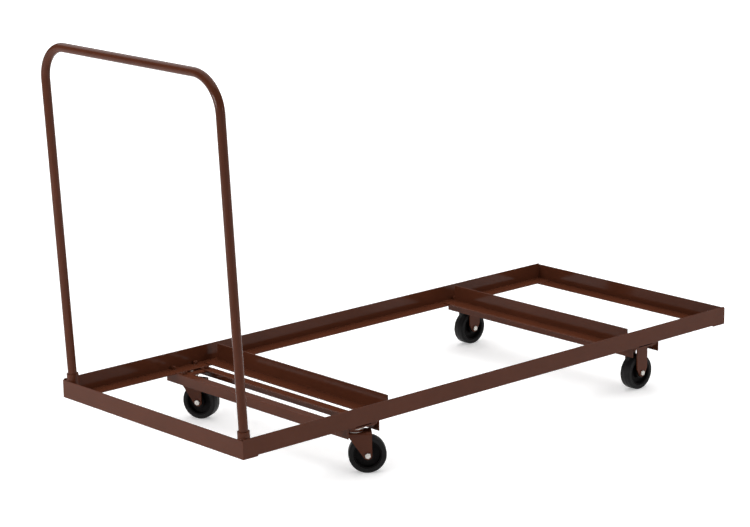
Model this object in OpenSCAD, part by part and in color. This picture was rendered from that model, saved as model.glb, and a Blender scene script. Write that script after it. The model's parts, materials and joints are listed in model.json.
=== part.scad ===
// Banquet table trolley: a rectangular frame of angle iron on two swivel and two rigid casters,
// with a bent-tube push handle that lifts out of two sockets in the frame's corners.
// X runs along the frame from the handle end, Y from the near side rail to the far one, Z up.

/* [Frame] */
// Length of the frame over its end rails
frame_l = 1905; // [1500:5:2400]
// Width of the frame over its side rails
frame_w = 787; // [600:1:1000]
// Leg of the frame's angle iron
rail_leg = 50.8; // [40:0.2:65]
// Thickness of the frame's angle iron
rail_t = 3.2; // [2:0.1:5]
// Rounding of the angle irons' edges
edge_r = 0.8; // [0.3:0.1:1]

/* [Table rests] */
// Upright leg of the two cross angles that the load rests on
rest_h = 50.8; // [40:0.2:65]
// Flat leg of those cross angles
rest_leg = 50.8; // [30:0.2:65]
// Distance from a side rail's outside face to the end of a rest
rest_inset = 28; // [10:1:35]
// Gap between the swivel casters' nuts and the rest beside them
swivel_rest_gap = 15.5; // [2:0.5:40]
// Gap between the rigid casters' nuts and the rest beside them
rigid_rest_gap = 3; // [2:0.5:40]

/* [Caster rows] */
// Distance from the handle end to the swivel casters' pivots
swivel_setback = 420; // [300:1:600]
// Distance from the far end to the rigid casters' centres
rigid_setback = 357; // [250:1:600]
// Leg of the angle irons that carry the casters
carrier_leg = 29.5; // [24:0.5:36]
// Thickness of the angle irons that carry the casters
carrier_t = 3; // [2:0.1:4.5]
// Distance from a side rail's outside face to the end of a carrier
carrier_inset = 2; // [0:0.5:10]
// Gap between a caster plate and the carriers' hanging legs
plate_gap = 2.25; // [0.5:0.25:6]

/* [Caster plates] */
// Plate length along the trolley
plate_l = 102; // [96:1:130]
// Plate width across the trolley
plate_w = 76; // [70:1:110]
// Plate thickness
plate_t = 4; // [3:0.2:6]
// Corner radius of the plate
plate_corner = 8; // [3:0.5:12]
// Distance from the plate's long edges to its bolt holes
bolt_edge_x = 11; // [10:0.5:14]
// Distance from the plate's short edges to its bolt holes
bolt_edge_y = 12; // [10:0.5:14]
// Diameter of the plate bolts
bolt_d = 8; // [6:0.5:9]

/* [Wheels] */
// Wheel diameter over the tyre
wheel_d = 104.4; // [75:0.2:130]
// Tyre width
wheel_w = 36; // [28:0.5:45]
// Tyre thickness from the rim to the tread
tyre_t = 13; // [8:0.5:18]
// Rounding of the tread's edges
tyre_round = 5; // [2:0.5:7]
// How far the tyre stands proud of the rim on each side
rim_recess = 1.5; // [0.5:0.25:4]
// Rim wall of the wheel's core
rim_t = 4; // [3:0.25:6]
// Web thickness of the wheel's core
web_t = 9; // [6:0.5:16]
// Diameter of the core's boss
boss_d = 34; // [28:0.5:40]
// How far the boss stands proud of the tyre on each side
boss_proud = 1; // [0:0.25:3]

/* [Axles] */
// Diameter of the axle bolts
axle_d = 9.5; // [8:0.1:11]
// Wall of the sleeve that the wheel turns on
sleeve_wall = 3; // [2:0.1:4]
// Thickness of the thrust washers beside the wheel
thrust_t = 1.7; // [1:0.1:3]
// Radial width of a thrust washer
thrust_ring = 3; // [2:0.5:5]

/* [Forks] */
// Plate thickness of the forks
fork_t = 4; // [3:0.2:5]
// Outside bend radius where the fork's crown turns into its legs
fork_bend = 6; // [5:0.5:8]
// Radius of the fork legs' rounded lower ends
fork_end_r = 12; // [9:0.5:14]
// Distance from the pivot to the swivel fork's leading edge
fork_back = 24; // [14:0.5:28]
// Depth of the straight upper part of the swivel fork's legs
fork_skirt = 3.5; // [1:0.5:10]
// Distance from the pivot to the swivel wheel's axle
swivel_trail = 33.5; // [24:0.5:40]
// Width of the rigid fork's legs
rigid_leg_w = 43.5; // [30:0.5:50]
// Height above the axle where the rigid fork's legs start to narrow
rigid_shoulder = 14; // [10:0.5:40]
// Room between the swivel fork's crown and the wheel
crown_clear = 8.8; // [7.5:0.1:24]
// Which way the near swivel wheel trails, in degrees from the trolley's length
near_swivel_deg = -39; // [-180:1:180]
// Which way the far swivel wheel trails, in degrees from the trolley's length
far_swivel_deg = -66; // [-180:1:180]

/* [Swivel bearings] */
// Diameter of the kingpin
kingpin_d = 12.7; // [10:0.1:14]
// Outside radius of the ring that shields the balls
race_ring_r = 25; // [24:0.5:27]
// Height of the raised race seat above the swivel fork's flat crown
crown_rise = 11; // [9:0.5:14]
// Depth of the ball grooves in the plate and in the race seat
groove_depth = 1.3; // [0.8:0.1:1.8]
// Wall of the ring that shields the balls
race_ring_t = 2.7; // [1.5:0.1:5]
// Thickness of the washer under the race seat
race_washer_t = 3; // [2:0.25:4]

/* [Handle] */
// Outside diameter of the handle tube
tube_d = 25.4; // [20:0.2:32]
// Wall of the handle tube
tube_wall = 1.6; // [1.2:0.1:3]
// Height of the handle's top bar, at its middle, above the side rails
handle_rise = 948; // [700:5:1100]
// Radius of the handle's bends, at the middle of the tube
bend_r = 97; // [60:1:150]
// Outward lean of the handle from upright, in degrees
handle_lean = 3.3; // [0:0.1:8]
// Wall of the sockets that hold the handle
socket_wall = 3.6; // [2.5:0.1:5]
// Height of the sockets above the side rails
socket_rise = 16; // [8:1:40]

/* [Clearances] */
// Radial clearance of a running fit
run_fit = 0.05; // [0.02:0.01:0.1]
// Gap between parts that pass each other
run_gap = 0.3; // [0.2:0.05:0.5]
// Radial clearance of a bolt in its hole
hole_clear = 0.3; // [0.2:0.05:0.5]
// Radial clearance of a thread, or of a pin that is fixed in its hole
thread_clear = 0.05; // [0.02:0.01:0.1]
// Radial clearance between the handle tube and its socket
socket_clear = 0.4; // [0.3:0.05:0.6]
// Gap left for a weld beside a socket
weld_gap = 0.3; // [0.1:0.05:0.5]
// Room round the washer inside the race seat
nut_room = 1.5; // [1:0.5:3]

/* [Hidden] */
$fn = 64;
eps = 1;

NEAR = 0;
FAR = 1;
SIDES = [NEAR, FAR];

// Plain colours of the solids
PAINT = "#5f3b32";
ZINC = "#b9b6ae";
RUBBER = "#232323";
CORE = "#1b1b1c";

// Fastener sizes from their thread diameters
bolt_head_af = 1.625 * bolt_d;
bolt_head_h = 0.66 * bolt_d;
bolt_nut_h = 0.8 * bolt_d;
bolt_tail = 0.25 * bolt_d;
bolt_washer_t = 0.25 * bolt_d;
axle_head_af = 1.5 * axle_d;
axle_head_h = 0.42 * axle_d;
axle_nut_h = 0.9 * axle_d;
axle_tail = 0.25 * axle_d;
kingpin_head_d = 1.75 * kingpin_d;
kingpin_nut_af = 1.5 * kingpin_d;
kingpin_nut_h = 0.6 * kingpin_d;
kingpin_tail = 0.15 * kingpin_d;

// Corner radius of a hexagon from the distance across its flats
function hex_r(af) = af / 2 / cos(30);

// Distance from the near rail's outside face of a point that lies y inside the given side's rail
function side_y(side, y) = side == NEAR ? y : frame_w - y;

// Wheel and axle stack, across the fork
sleeve_d = axle_d + 2 * hole_clear + 2 * sleeve_wall;
hub_bore_d = sleeve_d + 2 * run_fit;
hub_w = wheel_w + 2 * boss_proud;
fork_gap = hub_w + 2 * (run_gap + thrust_t);
fork_w = fork_gap + 2 * fork_t;
rim_r = wheel_d / 2 - tyre_t;

// Caster levels, down from the side rails' underside
race_gap = bolt_head_h + 2 * run_gap;
caster_h = plate_t + race_gap + crown_rise + fork_t + crown_clear + wheel_d;
floor_h = carrier_t + caster_h;
plate_top = -carrier_t;
plate_bot = plate_top - plate_t;
race_top = plate_bot - race_gap;
race_bot = race_top - fork_t;
crown_top = race_top - crown_rise;
crown_bot = crown_top - fork_t;
axle_z = wheel_d / 2 - floor_h;

// The kingpin's flat riveted head lies between the plate and the side rail above it
kingpin_head_h = carrier_t - run_gap;

// Swivel bearing: the balls run between grooves in the plate and in the fork's race seat
ball_d = race_gap + 2 * groove_depth;
race_seat_r = race_ring_r - race_ring_t;
race_r = race_seat_r - run_gap - ball_d / 2;
ball_count = floor(180 / asin((ball_d + run_gap) / 2 / race_r));
ball_z = (plate_bot + race_top) / 2;
groove_r = ball_d / 2 + run_gap;
seat_bore_r = race_seat_r - fork_t;
race_washer_d = 2 * (seat_bore_r - nut_room);

// Swivel fork outline, and the clear radius that its crown needs as it turns
fork_front = swivel_trail + fork_end_r;
fork_swing_r = norm([fork_front, fork_w / 2]);

// Caster rows: the carriers stand far enough apart for the plate and for the turning fork
bolt_sx = plate_l - 2 * bolt_edge_x;
bolt_sy = plate_w - 2 * bolt_edge_y;
row_w = max(plate_l, 2 * fork_swing_r) + 2 * (plate_gap + carrier_t);
swivel_row_x = swivel_setback;
rigid_row_x = frame_l - rigid_setback;
ROWS = [swivel_row_x, rigid_row_x];
bolt_inset = rail_t + hex_r(bolt_head_af) + bolt_washer_t;
caster_inset = bolt_inset + bolt_sy / 2;

// Table rests: the outside faces of their upright legs
nut_reach = bolt_sx / 2 + hex_r(bolt_head_af);
swivel_rest_x = swivel_row_x + nut_reach + swivel_rest_gap + rest_leg;
rigid_rest_x = rigid_row_x - nut_reach - rigid_rest_gap;

// Handle: each leg stands in a socket tucked into a corner of the frame
socket_bore_d = tube_d + 2 * socket_clear;
socket_d = socket_bore_d + 2 * socket_wall;
leg_inset = rail_t + weld_gap + socket_d / 2;
leg_span = frame_w - 2 * leg_inset;
end_rail_top = rail_leg - rail_t;
foot_z = rail_t;
foot_x = rail_t + weld_gap + socket_d / 2 / cos(handle_lean) + (end_rail_top - foot_z) * tan(handle_lean);
bar_h = rail_leg + handle_rise - foot_z;
leg_len = bar_h / cos(handle_lean);
socket_len = (rail_leg + socket_rise - foot_z) / cos(handle_lean);
bar_x = foot_x - bar_h * tan(handle_lean);

// The overall box: its middle, on the floor, is the origin
function wheel_reach_y(deg) =
    (wheel_w / 2 - tyre_round) * abs(cos(deg)) + (wheel_d / 2 - tyre_round) * abs(sin(deg)) + tyre_round;
function wheel_y(side, deg) = side_y(side, caster_inset) + swivel_trail * sin(deg);
wheel_lows = [wheel_y(NEAR, near_swivel_deg) - wheel_reach_y(near_swivel_deg),
    wheel_y(FAR, far_swivel_deg) - wheel_reach_y(far_swivel_deg)];
wheel_highs = [wheel_y(NEAR, near_swivel_deg) + wheel_reach_y(near_swivel_deg),
    wheel_y(FAR, far_swivel_deg) + wheel_reach_y(far_swivel_deg)];
box_x = [min(0, bar_x - tube_d / 2), frame_l];
box_y = [min(0, min(wheel_lows)), max(frame_w, max(wheel_highs))];
mid_x = (box_x[0] + box_x[1]) / 2;
mid_y = (box_y[0] + box_y[1]) / 2;

// Placing

// Moves the frame's own coordinates to the part's origin
module in_frame() {
    translate([-mid_x, -mid_y, floor_h]) children();
}

// Stands at a swivel caster's pivot, with local X along the way its wheel trails
module at_swivel(side) {
    deg = side == NEAR ? near_swivel_deg : far_swivel_deg;
    in_frame() translate([swivel_row_x, side_y(side, caster_inset), 0]) rotate([0, 0, deg]) children();
}

// Stands at a rigid caster's centre, with local X along the trolley
module at_rigid(side) {
    in_frame() translate([rigid_row_x, side_y(side, caster_inset), 0]) children();
}

// Turns local Z onto the axle, pointing to the side that the bolt's head is on
module on_axle(trail) {
    translate([trail, 0, axle_z]) rotate([90, 0, 0]) children();
}

// Stands at the foot of the handle, midway between its legs, with local Z up along the lean
module on_lean() {
    translate([foot_x, frame_w / 2, foot_z]) rotate([0, -handle_lean, 0]) children();
}

// Repeats its children at every plate bolt of a caster row; $outer is true for the bolts through a rail
module plate_bolt_sites(row_x) {
    for (side = SIDES, sx = [-1, 1], sy = [-1, 1]) {
        $outer = sy < 0;
        translate([row_x + sx * bolt_sx / 2, side_y(side, caster_inset + sy * bolt_sy / 2), 0]) children();
    }
}

// Shared shapes

// The cusp that a circle of radius r leaves in the corner at the origin
module cusp(r) {
    difference() {
        square(r);
        translate([r, r]) circle(r);
    }
}

// Angle-iron section with its heel at the origin, one leg along +X and the other along +Y
module angle_section(flat, upright, t) {
    difference() {
        union() {
            square([flat, t]);
            square([t, upright]);
        }
        cusp(edge_r);
        translate([flat, t]) rotate(180) cusp(edge_r);
        translate([flat, 0]) rotate(90) cusp(edge_r);
        translate([t, upright]) rotate(180) cusp(edge_r);
        translate([0, upright]) rotate(-90) cusp(edge_r);
    }
}

// Angle iron along +X, with its flat leg along +Y and its upright leg along +Z
module angle_along_x(len, flat, upright, t) {
    rotate([90, 0, 90]) linear_extrude(len) angle_section(flat, upright, t);
}

// Angle iron along +Y, with its flat leg along +X and its upright leg along +Z
module angle_along_y(len, flat, upright, t) {
    translate([0, len, 0]) rotate([90, 0, 0]) linear_extrude(len) angle_section(flat, upright, t);
}

// Rectangle with round corners, centred on the origin
module rounded_rect(w, h, r) {
    square([w - 2 * r, h], center = true);
    square([w, h - 2 * r], center = true);
    for (sx = [-1, 1], sy = [-1, 1]) translate([sx * (w / 2 - r), sy * (h / 2 - r)]) circle(r);
}

// Six-sided prism, from the distance across its flats
module hex_prism(af, h) {
    cylinder(r = hex_r(af), h = h, $fn = 6);
}

// Flat ring
module ring(outer_d, bore_d, h) {
    difference() {
        cylinder(d = outer_d, h = h);
        translate([0, 0, -eps]) cylinder(d = bore_d, h = h + 2 * eps);
    }
}

// Hexagon nut
module hex_nut(af, bore_d, h) {
    difference() {
        hex_prism(af, h);
        translate([0, 0, -eps]) cylinder(d = bore_d, h = h + 2 * eps);
    }
}

// Point where the line from p touches the circle of radius r about c, on the side given by turn
function touch_point(p, c, r, turn) =
    let (d = p - c, a = atan2(d[1], d[0]) + turn * acos(r / norm(d))) c + r * [cos(a), sin(a)];

// Frame

// Side rail on the near side, drilled for the outer plate bolts
module near_rail_shape() {
    difference() {
        translate([rail_t, 0, 0]) angle_along_x(frame_l - 2 * rail_t, rail_leg, rail_leg, rail_t);
        bolt_holes();
    }
}

// Drills for every plate bolt, through all that they clamp
module bolt_holes() {
    tall = rail_t - plate_bot + 2 * eps;
    for (row_x = ROWS) plate_bolt_sites(row_x)
        translate([0, 0, plate_bot - eps]) cylinder(d = bolt_d + 2 * hole_clear, h = tall);
}

module near_side_rail() {
    color(PAINT) in_frame() near_rail_shape();
}

module far_side_rail() {
    color(PAINT) in_frame() translate([0, frame_w, 0]) mirror([0, 1, 0]) near_rail_shape();
}

// The end rails sit one thickness lower, so that their flat legs lap under the side rails
module handle_end_rail() {
    color(PAINT) in_frame() translate([0, 0, -rail_t]) angle_along_y(frame_w, rail_leg, rail_leg, rail_t);
}

module far_end_rail() {
    color(PAINT) in_frame() translate([frame_l, 0, -rail_t]) mirror([1, 0, 0])
        angle_along_y(frame_w, rail_leg, rail_leg, rail_t);
}

// Cross angle that the load rests on; x is the outside face of its upright leg
module table_rest(x) {
    color(PAINT) in_frame() translate([x, rest_inset, rail_t]) mirror([1, 0, 0])
        angle_along_y(frame_w - 2 * rest_inset, rest_leg, rest_h, rail_t);
}

// Carrier angle of a caster row, under the side rails; way is -1 on the row's handle side and 1 on the other
module caster_carrier(row_x, way) {
    color(PAINT) in_frame() difference() {
        translate([row_x + way * row_w / 2, carrier_inset, 0])
            mirror([way > 0 ? 1 : 0, 0, 0]) mirror([0, 0, 1])
                angle_along_y(frame_w - 2 * carrier_inset, carrier_leg, carrier_leg, carrier_t);
        bolt_holes();
    }
}

// Handle and its sockets

// Everything below the flat floor that the handle and its sockets stand on
module below_foot() {
    deep = socket_d;
    translate([-frame_l, -frame_w, foot_z - deep]) cube([2 * frame_l, 3 * frame_w, deep]);
}

// Straight round bar along the lean, at one leg, from below the foot to the given length
module leg_bar(way, d, len) {
    translate([0, way * leg_span / 2, -tube_d]) cylinder(d = d, h = len + tube_d);
}

// The bent bar of the handle: two legs, two quarter bends and the top bar
module bent_bar(d) {
    for (way = [-1, 1]) {
        leg_bar(way, d, leg_len - bend_r);
        translate([0, way * (leg_span / 2 - bend_r), leg_len - bend_r]) rotate([0, -90, 0])
            rotate([0, 0, way > 0 ? 0 : -90]) rotate_extrude(angle = 90) translate([bend_r, 0]) circle(d = d);
    }
    translate([0, -leg_span / 2 + bend_r, leg_len]) rotate([-90, 0, 0])
        cylinder(d = d, h = leg_span - 2 * bend_r);
}

module push_handle() {
    color(PAINT) in_frame() difference() {
        on_lean() bent_bar(tube_d);
        on_lean() bent_bar(tube_d - 2 * tube_wall);
        below_foot();
    }
}

module handle_socket(side) {
    way = side == NEAR ? -1 : 1;
    color(PAINT) in_frame() difference() {
        on_lean() leg_bar(way, socket_d, socket_len);
        on_lean() leg_bar(way, socket_bore_d, socket_len + eps);
        below_foot();
    }
}

// Plate fasteners

// Level of the top of what a plate bolt clamps
function clamp_top(outer) = outer ? rail_t : 0;

module plate_bolts() {
    color(PAINT) in_frame() for (row_x = ROWS) plate_bolt_sites(row_x) {
        translate([0, 0, plate_bot - bolt_head_h]) hex_prism(bolt_head_af, bolt_head_h);
        translate([0, 0, plate_bot])
            cylinder(d = bolt_d, h = clamp_top($outer) - plate_bot + bolt_washer_t + bolt_nut_h + bolt_tail);
    }
}

module plate_lock_washers() {
    color(PAINT) in_frame() for (row_x = ROWS) plate_bolt_sites(row_x)
        translate([0, 0, clamp_top($outer)]) ring(bolt_head_af, bolt_d + 2 * hole_clear, bolt_washer_t);
}

module plate_nuts() {
    color(PAINT) in_frame() for (row_x = ROWS) plate_bolt_sites(row_x)
        translate([0, 0, clamp_top($outer) + bolt_washer_t])
            hex_nut(bolt_head_af, bolt_d + 2 * thread_clear, bolt_nut_h);
}

// Caster plates

// Flat plate with its four bolt holes, centred on the caster
module plate_blank() {
    translate([0, 0, plate_bot]) linear_extrude(plate_t) difference() {
        rounded_rect(plate_l, plate_w, plate_corner);
        for (sx = [-1, 1], sy = [-1, 1])
            translate([sx * bolt_sx / 2, sy * bolt_sy / 2]) circle(d = bolt_d + 2 * hole_clear);
    }
}

// Groove that the race balls run in
module ball_groove() {
    translate([0, 0, ball_z]) rotate_extrude() translate([race_r, 0]) circle(groove_r);
}

module swivel_plate(side) {
    color(PAINT) in_frame() translate([swivel_row_x, side_y(side, caster_inset), 0]) difference() {
        plate_blank();
        ball_groove();
        translate([0, 0, plate_bot - eps])
            cylinder(d = kingpin_d + 2 * thread_clear, h = plate_t + 2 * eps);
    }
}

module rigid_plate(side) {
    color(PAINT) at_rigid(side) plate_blank();
}

// Swivel bearings

// Levels below the race seat
race_washer_top = race_bot - run_gap;
kingpin_nut_top = race_washer_top - race_washer_t;
kingpin_end = kingpin_nut_top - kingpin_nut_h - kingpin_tail;

module kingpin(side) {
    color(ZINC) at_swivel(side) {
        translate([0, 0, plate_top]) cylinder(d = kingpin_head_d, h = kingpin_head_h);
        translate([0, 0, kingpin_end]) cylinder(d = kingpin_d, h = plate_top - kingpin_end);
    }
}

module race_washer(side) {
    color(ZINC) at_swivel(side) translate([0, 0, kingpin_nut_top])
        ring(race_washer_d, kingpin_d + 2 * thread_clear, race_washer_t);
}

module kingpin_nut(side) {
    color(ZINC) at_swivel(side) translate([0, 0, kingpin_nut_top - kingpin_nut_h])
        hex_nut(kingpin_nut_af, kingpin_d + 2 * thread_clear, kingpin_nut_h);
}

// Ring fixed under the plate, round the balls
module race_ring(side) {
    color(ZINC) at_swivel(side) translate([0, 0, race_top + run_gap])
        ring(2 * race_ring_r, 2 * race_seat_r, race_gap - run_gap);
}

module race_balls(side) {
    color(ZINC) at_swivel(side) for (i = [0 : ball_count - 1])
        rotate([0, 0, i * 360 / ball_count]) translate([race_r, 0, ball_z]) sphere(d = ball_d);
}

// Forks

// Section across a fork: two legs under a crown whose upper face is at the given level
module fork_section(top) {
    low = axle_z - fork_end_r - eps;
    difference() {
        translate([-fork_w / 2, low]) square([fork_w, top - low]);
        for (way = [0, 1]) mirror([way, 0]) translate([fork_w / 2, top]) rotate(180) cusp(fork_bend);
        difference() {
            translate([-fork_gap / 2, low - eps]) square([fork_gap, top - fork_t - low + eps]);
            for (way = [0, 1]) mirror([way, 0]) translate([fork_gap / 2, top - fork_t]) rotate(180)
                cusp(fork_bend - fork_t);
        }
    }
}

// Side view of a fork, as thick as the fork is wide: straight sides down to the shoulder,
// and then a taper to a round end about the axle
module fork_profile(trail, back, front, top, shoulder) {
    axle = [trail, axle_z];
    thick = fork_w + 2 * eps;
    rotate([90, 0, 0]) linear_extrude(thick, center = true)
        polygon([[back, top], [front, top], [front, shoulder],
            touch_point([front, shoulder], axle, fork_end_r, -1), axle,
            touch_point([back, shoulder], axle, fork_end_r, 1), [back, shoulder]]);
    on_axle(trail) cylinder(r = fork_end_r, h = thick, center = true);
}

// A bent fork: its section along local X, cut to its profile, with the axle hole through both legs
module bent_fork(trail, back, front, top, shoulder) {
    reach = 2 * (trail + abs(back) + abs(front) + fork_end_r);
    difference() {
        intersection() {
            rotate([90, 0, 90]) linear_extrude(reach, center = true) fork_section(top);
            fork_profile(trail, back, front, top, shoulder);
        }
        on_axle(trail) cylinder(d = axle_d + 2 * hole_clear, h = fork_w + 2 * eps, center = true);
    }
}

// The swivel fork: its flat crown carries the race seat, a round cup that opens downward
module swivel_fork(side) {
    color(PAINT) at_swivel(side) difference() {
        union() {
            bent_fork(swivel_trail, -fork_back, fork_front, crown_top, crown_top - fork_skirt);
            translate([0, 0, crown_bot]) cylinder(r = race_seat_r, h = race_top - crown_bot);
        }
        ball_groove();
        translate([0, 0, crown_bot - eps]) cylinder(r = seat_bore_r, h = race_bot - crown_bot + eps);
        translate([0, 0, race_bot - eps]) cylinder(d = kingpin_d + 2 * run_fit, h = fork_t + 2 * eps);
    }
}

module rigid_fork(side) {
    color(PAINT) at_rigid(side)
        bent_fork(0, -rigid_leg_w / 2, rigid_leg_w / 2, plate_bot, axle_z + rigid_shoulder);
}

// Axles and wheels, drawn about local Z

module axle_bolt() {
    head_z = fork_w / 2;
    len = fork_w + axle_nut_h + axle_tail;
    color(ZINC) {
        translate([0, 0, head_z]) hex_prism(axle_head_af, axle_head_h);
        translate([0, 0, head_z - len]) cylinder(d = axle_d, h = len);
    }
}

module axle_nut() {
    color(ZINC) translate([0, 0, -fork_w / 2 - axle_nut_h])
        hex_nut(axle_head_af, axle_d + 2 * thread_clear, axle_nut_h);
}

module axle_sleeve() {
    color(ZINC) translate([0, 0, -fork_gap / 2]) ring(sleeve_d, axle_d + 2 * hole_clear, fork_gap);
}

module thrust_washers() {
    color(ZINC) for (way = [0, 1]) mirror([0, 0, way]) translate([0, 0, hub_w / 2 + run_gap])
        ring(hub_bore_d + 2 * thrust_ring, hub_bore_d, thrust_t);
}

module wheel_core() {
    bore_r = hub_bore_d / 2;
    rim_w = wheel_w - 2 * rim_recess;
    color(CORE) rotate_extrude() {
        translate([bore_r, -hub_w / 2]) square([boss_d / 2 - bore_r, hub_w]);
        translate([bore_r, -web_t / 2]) square([rim_r - bore_r, web_t]);
        translate([rim_r - rim_t, -rim_w / 2]) square([rim_t, rim_w]);
    }
}

module tyre() {
    color(RUBBER) rotate_extrude() difference() {
        translate([rim_r, -wheel_w / 2]) square([tyre_t, wheel_w]);
        for (way = [0, 1]) mirror([0, way])
            translate([rim_r + tyre_t, wheel_w / 2]) rotate(180) cusp(tyre_round);
    }
}

near_side_rail();
far_side_rail();
handle_end_rail();
far_end_rail();
table_rest(swivel_rest_x);  // swivel_end_rest
table_rest(rigid_rest_x);  // rigid_end_rest
caster_carrier(swivel_row_x, -1);  // swivel_carrier_outer
caster_carrier(swivel_row_x, 1);  // swivel_carrier_inner
caster_carrier(rigid_row_x, -1);  // rigid_carrier_inner
caster_carrier(rigid_row_x, 1);  // rigid_carrier_outer
handle_socket(NEAR);  // near_handle_socket
handle_socket(FAR);  // far_handle_socket
push_handle();
plate_bolts();
plate_lock_washers();
plate_nuts();
swivel_plate(NEAR);  // near_swivel_plate
kingpin(NEAR);  // near_swivel_kingpin
race_washer(NEAR);  // near_swivel_race_washer
kingpin_nut(NEAR);  // near_swivel_kingpin_nut
race_ring(NEAR);  // near_swivel_race_ring
race_balls(NEAR);  // near_swivel_race_balls
swivel_fork(NEAR);  // near_swivel_fork
at_swivel(NEAR) on_axle(swivel_trail) axle_bolt();  // near_swivel_axle_bolt
at_swivel(NEAR) on_axle(swivel_trail) axle_nut();  // near_swivel_axle_nut
at_swivel(NEAR) on_axle(swivel_trail) axle_sleeve();  // near_swivel_sleeve
at_swivel(NEAR) on_axle(swivel_trail) thrust_washers();  // near_swivel_thrust_washers
at_swivel(NEAR) on_axle(swivel_trail) wheel_core();  // near_swivel_core
at_swivel(NEAR) on_axle(swivel_trail) tyre();  // near_swivel_tyre
swivel_plate(FAR);  // far_swivel_plate
kingpin(FAR);  // far_swivel_kingpin
race_washer(FAR);  // far_swivel_race_washer
kingpin_nut(FAR);  // far_swivel_kingpin_nut
race_ring(FAR);  // far_swivel_race_ring
race_balls(FAR);  // far_swivel_race_balls
swivel_fork(FAR);  // far_swivel_fork
at_swivel(FAR) on_axle(swivel_trail) axle_bolt();  // far_swivel_axle_bolt
at_swivel(FAR) on_axle(swivel_trail) axle_nut();  // far_swivel_axle_nut
at_swivel(FAR) on_axle(swivel_trail) axle_sleeve();  // far_swivel_sleeve
at_swivel(FAR) on_axle(swivel_trail) thrust_washers();  // far_swivel_thrust_washers
at_swivel(FAR) on_axle(swivel_trail) wheel_core();  // far_swivel_core
at_swivel(FAR) on_axle(swivel_trail) tyre();  // far_swivel_tyre
rigid_plate(NEAR);  // near_rigid_plate
rigid_fork(NEAR);  // near_rigid_fork
at_rigid(NEAR) on_axle(0) axle_bolt();  // near_rigid_axle_bolt
at_rigid(NEAR) on_axle(0) axle_nut();  // near_rigid_axle_nut
at_rigid(NEAR) on_axle(0) axle_sleeve();  // near_rigid_sleeve
at_rigid(NEAR) on_axle(0) thrust_washers();  // near_rigid_thrust_washers
at_rigid(NEAR) on_axle(0) wheel_core();  // near_rigid_core
at_rigid(NEAR) on_axle(0) tyre();  // near_rigid_tyre
rigid_plate(FAR);  // far_rigid_plate
rigid_fork(FAR);  // far_rigid_fork
at_rigid(FAR) on_axle(0) axle_bolt();  // far_rigid_axle_bolt
at_rigid(FAR) on_axle(0) axle_nut();  // far_rigid_axle_nut
at_rigid(FAR) on_axle(0) axle_sleeve();  // far_rigid_sleeve
at_rigid(FAR) on_axle(0) thrust_washers();  // far_rigid_thrust_washers
at_rigid(FAR) on_axle(0) wheel_core();  // far_rigid_core
at_rigid(FAR) on_axle(0) tyre();  // far_rigid_tyre
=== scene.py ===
"""Dresses the banquet table trolley: paint, plating, rubber, welds, fasteners, wheels and handle."""

import json
import logging
import math
from collections.abc import Iterable, Sequence
from dataclasses import dataclass
from enum import Enum

import bmesh
import bpy
from mathutils import Matrix, Vector

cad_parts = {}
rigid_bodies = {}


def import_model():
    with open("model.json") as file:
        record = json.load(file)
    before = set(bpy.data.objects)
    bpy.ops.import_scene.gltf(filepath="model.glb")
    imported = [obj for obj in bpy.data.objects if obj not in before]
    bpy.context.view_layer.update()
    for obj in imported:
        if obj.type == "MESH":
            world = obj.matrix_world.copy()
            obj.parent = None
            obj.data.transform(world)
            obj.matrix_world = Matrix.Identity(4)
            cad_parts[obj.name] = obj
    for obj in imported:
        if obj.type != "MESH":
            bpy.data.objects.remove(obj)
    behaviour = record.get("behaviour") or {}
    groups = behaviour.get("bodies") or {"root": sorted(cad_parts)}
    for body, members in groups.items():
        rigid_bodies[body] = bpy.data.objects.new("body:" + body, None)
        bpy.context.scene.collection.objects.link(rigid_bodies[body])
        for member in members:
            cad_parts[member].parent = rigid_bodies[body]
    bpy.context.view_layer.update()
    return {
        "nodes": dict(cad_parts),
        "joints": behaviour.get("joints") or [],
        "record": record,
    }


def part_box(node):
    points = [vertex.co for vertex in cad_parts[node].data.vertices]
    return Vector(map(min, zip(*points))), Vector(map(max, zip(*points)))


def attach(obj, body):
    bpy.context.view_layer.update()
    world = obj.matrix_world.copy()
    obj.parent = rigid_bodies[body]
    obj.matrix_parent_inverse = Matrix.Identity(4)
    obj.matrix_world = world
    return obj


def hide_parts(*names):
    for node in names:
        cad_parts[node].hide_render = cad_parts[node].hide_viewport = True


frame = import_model()

log = logging.getLogger("trolley")
Colour = tuple[float, float, float]
Spot = tuple[float, float, float]
Profile = list[tuple[float, float]]
Material = bpy.types.Material
Socket = bpy.types.NodeSocket
UP = Vector((0.0, 0.0, 1.0))
WHITE = (1.0, 1.0, 1.0, 1.0)


class Slot(str, Enum):
    """The record's material slots."""

    PAINT = "brown_paint"
    ZINC = "zinc"
    BALLS = "race_balls"
    CORE = "wheel_core"
    TYRE = "tyre"


class Side(str, Enum):
    """The trolley's two long sides."""

    NEAR = "near"
    FAR = "far"

    @property
    def inward(self) -> float:
        """Sign of Y from this side towards the trolley's middle."""
        return 1.0 if self is Side.NEAR else -1.0


class CasterKind(str, Enum):
    """Whether a caster turns on a kingpin or is fixed."""

    SWIVEL = "swivel"
    RIGID = "rigid"


# Nodes


def plug(tree: bpy.types.NodeTree, socket: Socket, value: object) -> None:
    """Links an input to another socket, or else sets it to a constant."""
    if isinstance(value, Socket):
        tree.links.new(value, socket)
    else:
        socket.default_value = value


def feed(tree: bpy.types.NodeTree, node: bpy.types.Node, **inputs: object) -> None:
    """Feeds a node's inputs, each given by its name with _ for a space."""
    for name, value in inputs.items():
        plug(tree, node.inputs[name.replace("_", " ")], value)


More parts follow.
